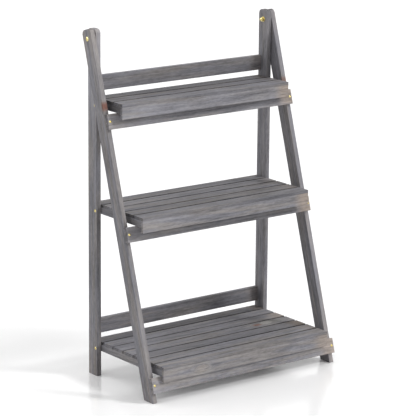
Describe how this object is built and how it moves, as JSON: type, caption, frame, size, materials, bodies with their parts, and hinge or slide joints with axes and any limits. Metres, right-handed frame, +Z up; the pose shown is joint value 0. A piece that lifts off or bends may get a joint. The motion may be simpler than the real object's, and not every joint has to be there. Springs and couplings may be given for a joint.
{
  "type": "plant ladder stand",
  "caption": "Folding wooden ladder stand with slatted shelves, hinged between an upright rear frame and a leaning front frame, for potted plants.",
  "frame": {"origin": "on the floor, under the middle of the open stand", "axes": "+X to the right of someone facing the stand, +Y towards the back, +Z up"},
  "size_m": [0.6114, 0.3192, 0.93],
  "materials": {
    "grey_wood": "grey stain, matt, with the grain showing",
    "plain_wood": "bare beech",
    "brass": "bright yellow-plated steel"
  },
  "bodies": {
    "rear_frame": {"rear_leg_left": "grey_wood", "rear_leg_right": "grey_wood", "back_rail_bottom": "grey_wood", "back_rail_top": "grey_wood", "back_rail_dowels": "plain_wood", "hinge_bolts": "brass", "hinge_washers": "brass", "hinge_nuts": "brass"},
    "front_frame": {"front_leg_left": "grey_wood", "front_leg_right": "grey_wood", "front_rail_bottom": "grey_wood", "front_rail_middle": "grey_wood", "front_rail_top": "grey_wood", "front_rail_screws": "brass"},
    "bottom_shelf": {"bottom_bearer_left": "grey_wood", "bottom_bearer_right": "grey_wood", "bottom_fascia": "grey_wood", "bottom_slat_1": "grey_wood", "bottom_slat_2": "grey_wood", "bottom_slat_3": "grey_wood", "bottom_slat_4": "grey_wood", "bottom_slat_5": "grey_wood", "bottom_slat_6": "grey_wood", "bottom_slat_7": "grey_wood", "bottom_slat_screws": "brass", "bottom_fascia_dowels": "plain_wood", "bottom_pivot_screws": "brass"},
    "middle_shelf": {"middle_bearer_left": "grey_wood", "middle_bearer_right": "grey_wood", "middle_fascia": "grey_wood", "middle_slat_1": "grey_wood", "middle_slat_2": "grey_wood", "middle_slat_3": "grey_wood", "middle_slat_4": "grey_wood", "middle_slat_5": "grey_wood", "middle_slat_screws": "brass", "middle_fascia_dowels": "plain_wood", "middle_pivot_screws": "brass"},
    "top_shelf": {"top_bearer_left": "grey_wood", "top_bearer_right": "grey_wood", "top_fascia": "grey_wood", "top_slat_1": "grey_wood", "top_slat_2": "grey_wood", "top_slat_3": "grey_wood", "top_slat_screws": "brass", "top_fascia_dowels": "plain_wood", "top_pivot_screws": "brass"}
  },
  "joints": [
    {"name": "front_frame_fold", "type": "hinge", "parent": "rear_frame", "child": "front_frame", "pos_m": [0, 0.13717, 0.9035], "axis": [1, 0, 0], "range_deg": [0, 16]},
    {"name": "bottom_shelf_lift", "type": "hinge", "parent": "rear_frame", "child": "bottom_shelf", "pos_m": [0, 0.12517, 0.076], "axis": [-1, 0, 0], "range_deg": [0, 90]},
    {"name": "middle_shelf_lift", "type": "hinge", "parent": "rear_frame", "child": "middle_shelf", "pos_m": [0, 0.12517, 0.4505], "axis": [-1, 0, 0], "range_deg": [0, 90]},
    {"name": "top_shelf_lift", "type": "hinge", "parent": "rear_frame", "child": "top_shelf", "pos_m": [0, 0.12517, 0.731], "axis": [-1, 0, 0], "range_deg": [0, 90]}
  ],
  "couplings": [
    {"joint": "bottom_shelf_lift", "follows": "front_frame_fold", "ratio": 5.6},
    {"joint": "middle_shelf_lift", "follows": "front_frame_fold", "ratio": 5.6},
    {"joint": "top_shelf_lift", "follows": "front_frame_fold", "ratio": 5.6}
  ]
}
